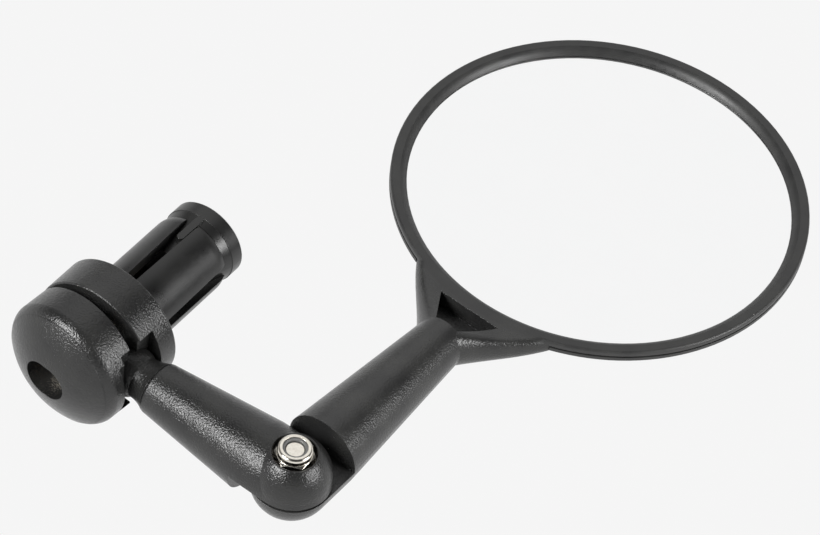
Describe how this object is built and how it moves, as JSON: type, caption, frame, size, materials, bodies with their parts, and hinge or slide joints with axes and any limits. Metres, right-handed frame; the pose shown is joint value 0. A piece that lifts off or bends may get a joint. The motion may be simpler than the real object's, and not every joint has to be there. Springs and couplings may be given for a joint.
{
  "type": "bar-end bicycle mirror",
  "caption": "Round convex mirror on a folding stem and ball-jointed arm, with an expanding plug for the end of a handlebar.",
  "frame": {"origin": "on the plug's axis, in the plane where the clamp housing meets the end of the handlebar", "axes": "+Y along the plug into the bar, +X along the arm away from the clamp, +Z along the folding hinge, out of the mirror's face"},
  "size_m": [0.102, 0.1437, 0.0252],
  "materials": {
    "housing_plastic": "spark-eroded matt",
    "plug_plastic": "smooth satin",
    "arm_plastic": "spark-eroded matt",
    "mirror_plastic": "fine matt",
    "screw_steel": "zinc plated",
    "hinge_steel": "nickel plated",
    "nylon": "satin nylon",
    "mirror_coat": "silvered convex glass",
    "foam": "closed cell foam"
  },
  "bodies": {
    "clamp": {"rear_housing": "housing_plastic", "expander_sleeve": "plug_plastic"},
    "cap": {"front_cap": "housing_plastic"},
    "plate": {"clamp_washer": "screw_steel"},
    "bolt": {"clamp_bolt": "screw_steel"},
    "wedge": {"expander_cone": "plug_plastic", "cone_nut": "screw_steel"},
    "ball": {"ball_stud": "arm_plastic"},
    "arm": {"arm": "arm_plastic", "hinge_friction_washer": "nylon"},
    "mirror": {"mirror_housing": "mirror_plastic", "back_cover": "mirror_plastic", "mirror_glass": "mirror_coat", "glass_pad": "foam", "hinge_bolt": "hinge_steel", "hinge_nut": "hinge_steel", "nut_insert": "nylon", "hinge_nut_washer": "hinge_steel", "hinge_spring_washer": "hinge_steel"}
  },
  "joints": [
    {"name": "ball_swing", "type": "hinge", "parent": "clamp", "child": "ball", "pos_m": [0.0095, -0.0086, 0], "axis": [0, 1, 0], "range_deg": [-33, 25]},
    {"name": "arm_twist", "type": "hinge", "parent": "ball", "child": "arm", "pos_m": [0.0095, -0.0086, 0], "axis": [0.9998, -0.0175, 0], "continuous": true},
    {"name": "mirror_hinge", "type": "hinge", "parent": "arm", "child": "mirror", "pos_m": [0.04576, -0.00923, 0], "axis": [0, 0, 1], "range_deg": [-185, 7]},
    {"name": "bolt_turn", "type": "hinge", "parent": "plate", "child": "bolt", "pos_m": [0, -0.0127, 0], "axis": [0, -1, 0], "range_deg": [0, 540]},
    {"name": "plate_travel", "type": "slide", "parent": "clamp", "child": "plate", "axis": [0, -1, 0], "range_m": [0, 0.00046]},
    {"name": "cap_rock", "type": "hinge", "parent": "clamp", "child": "cap", "pos_m": [-0.0124, -0.0087, 0], "axis": [0, 0, 1], "range_deg": [-2.12, 0]},
    {"name": "wedge_slide", "type": "slide", "parent": "clamp", "child": "wedge", "axis": [0, 1, 0], "range_m": [0, 0.0006]}
  ],
  "couplings": [
    {"joint": "plate_travel", "follows": "bolt_turn", "m_per_rad": 0.0000483},
    {"joint": "cap_rock", "follows": "bolt_turn", "ratio": -0.0039},
    {"joint": "wedge_slide", "follows": "bolt_turn", "m_per_rad": 0.0000631}
  ]
}
